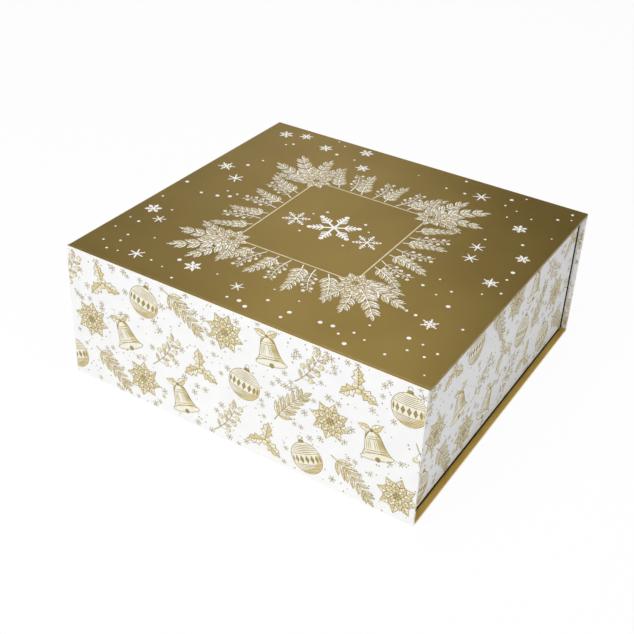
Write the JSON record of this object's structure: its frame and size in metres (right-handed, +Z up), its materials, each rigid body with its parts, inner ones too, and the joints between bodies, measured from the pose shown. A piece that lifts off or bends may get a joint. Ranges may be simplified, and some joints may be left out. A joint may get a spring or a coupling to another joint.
{
  "type": "folding gift box",
  "caption": "Rigid gift box with a book-style lid, a magnetic front flap and a tray whose walls fold down flat.",
  "frame": {"origin": "middle of the closed box's footprint, on the surface that it stands on", "axes": "+X along the long front face, +Y from the front flap to the spine, +Z up"},
  "size_m": [0.31, 0.29, 0.118],
  "materials": {
    "gold_wrap": "satin metallic gold paper",
    "printed_wrap": "white paper with fine gold line print",
    "lining_paper": "matte off-white paper",
    "greyboard": "raw grey board",
    "crease_paper": "matte off-white paper",
    "hinge_paper": "dark creased paper at the foot of the side walls",
    "tab_paper": "matte off-white paper",
    "tape": "double-sided tape with its release paper on",
    "magnet": "nickel plated disc",
    "steel": "plain sheet steel disc"
  },
  "bodies": {
    "base": {"base_board": "greyboard", "base_wrap": "gold_wrap", "base_lining": "lining_paper", "floor_board": "greyboard", "floor_wrap": "lining_paper", "floor_lining": "lining_paper", "spine_board": "greyboard", "spine_wrap": "printed_wrap", "spine_lining": "lining_paper", "left_wall_crease": "hinge_paper", "right_wall_crease": "hinge_paper", "front_wall_crease": "crease_paper", "spine_crease": "gold_wrap", "lid_crease": "gold_wrap"},
    "lid": {"lid_board": "greyboard", "lid_wrap": "gold_wrap", "lid_lining": "lining_paper", "flap_crease": "gold_wrap"},
    "flap": {"flap_board": "greyboard", "flap_wrap": "printed_wrap", "flap_lining": "lining_paper", "flap_magnets": "magnet"},
    "front_wall": {"front_wall_board": "greyboard", "front_wall_wrap": "printed_wrap", "front_wall_lining": "lining_paper", "front_wall_plates": "steel"},
    "left_wall": {"left_wall_board": "greyboard", "left_wall_wrap": "printed_wrap", "left_wall_lining": "lining_paper"},
    "right_wall": {"right_wall_board": "greyboard", "right_wall_wrap": "printed_wrap", "right_wall_lining": "lining_paper"},
    "front_left_tab": {"front_left_tab": "tab_paper", "front_left_tape": "tape"},
    "front_right_tab": {"front_right_tab": "tab_paper", "front_right_tape": "tape"},
    "rear_left_tab": {"rear_left_tab": "tab_paper", "rear_left_tape": "tape"},
    "rear_right_tab": {"rear_right_tab": "tab_paper", "rear_right_tape": "tape"}
  },
  "joints": [
    {"name": "lid_hinge", "type": "hinge", "parent": "base", "child": "lid", "pos_m": [0, 0.145, 0.1156], "axis": [-1, 0, 0], "range_deg": [0, 180]},
    {"name": "flap_hinge", "type": "hinge", "parent": "lid", "child": "flap", "pos_m": [0, -0.145, 0.11775], "axis": [-1, 0, 0], "range_deg": [0, 135]},
    {"name": "front_wall_fold", "type": "hinge", "parent": "base", "child": "front_wall", "pos_m": [0, -0.1396, 0.00475], "axis": [-1, 0, 0], "range_deg": [0, 90]},
    {"name": "left_wall_fold", "type": "hinge", "parent": "base", "child": "left_wall", "pos_m": [-0.15, 0, 0.0044], "axis": [0, -1, 0], "range_deg": [0, 90]},
    {"name": "right_wall_fold", "type": "hinge", "parent": "base", "child": "right_wall", "pos_m": [0.15, 0, 0.0044], "axis": [0, 1, 0], "range_deg": [0, 90]},
    {"name": "front_left_tab_fold", "type": "hinge", "parent": "front_wall", "child": "front_left_tab", "pos_m": [-0.1473, -0.13955, 0.0595], "axis": [0, 0, -1], "range_deg": [0, 90]},
    {"name": "front_right_tab_fold", "type": "hinge", "parent": "front_wall", "child": "front_right_tab", "pos_m": [0.1473, -0.13955, 0.0595], "axis": [0, 0, 1], "range_deg": [0, 90]},
    {"name": "rear_left_tab_fold", "type": "hinge", "parent": "base", "child": "rear_left_tab", "pos_m": [-0.1473, 0.14255, 0.0595], "axis": [0, 0, 1], "range_deg": [0, 90]},
    {"name": "rear_right_tab_fold", "type": "hinge", "parent": "base", "child": "rear_right_tab", "pos_m": [0.1473, 0.14255, 0.0595], "axis": [0, 0, -1], "range_deg": [0, 90]}
  ],
  "couplings": [
    {"joint": "front_left_tab_fold", "follows": "front_wall_fold", "ratio": 1},
    {"joint": "front_right_tab_fold", "follows": "front_wall_fold", "ratio": 1}
  ]
}
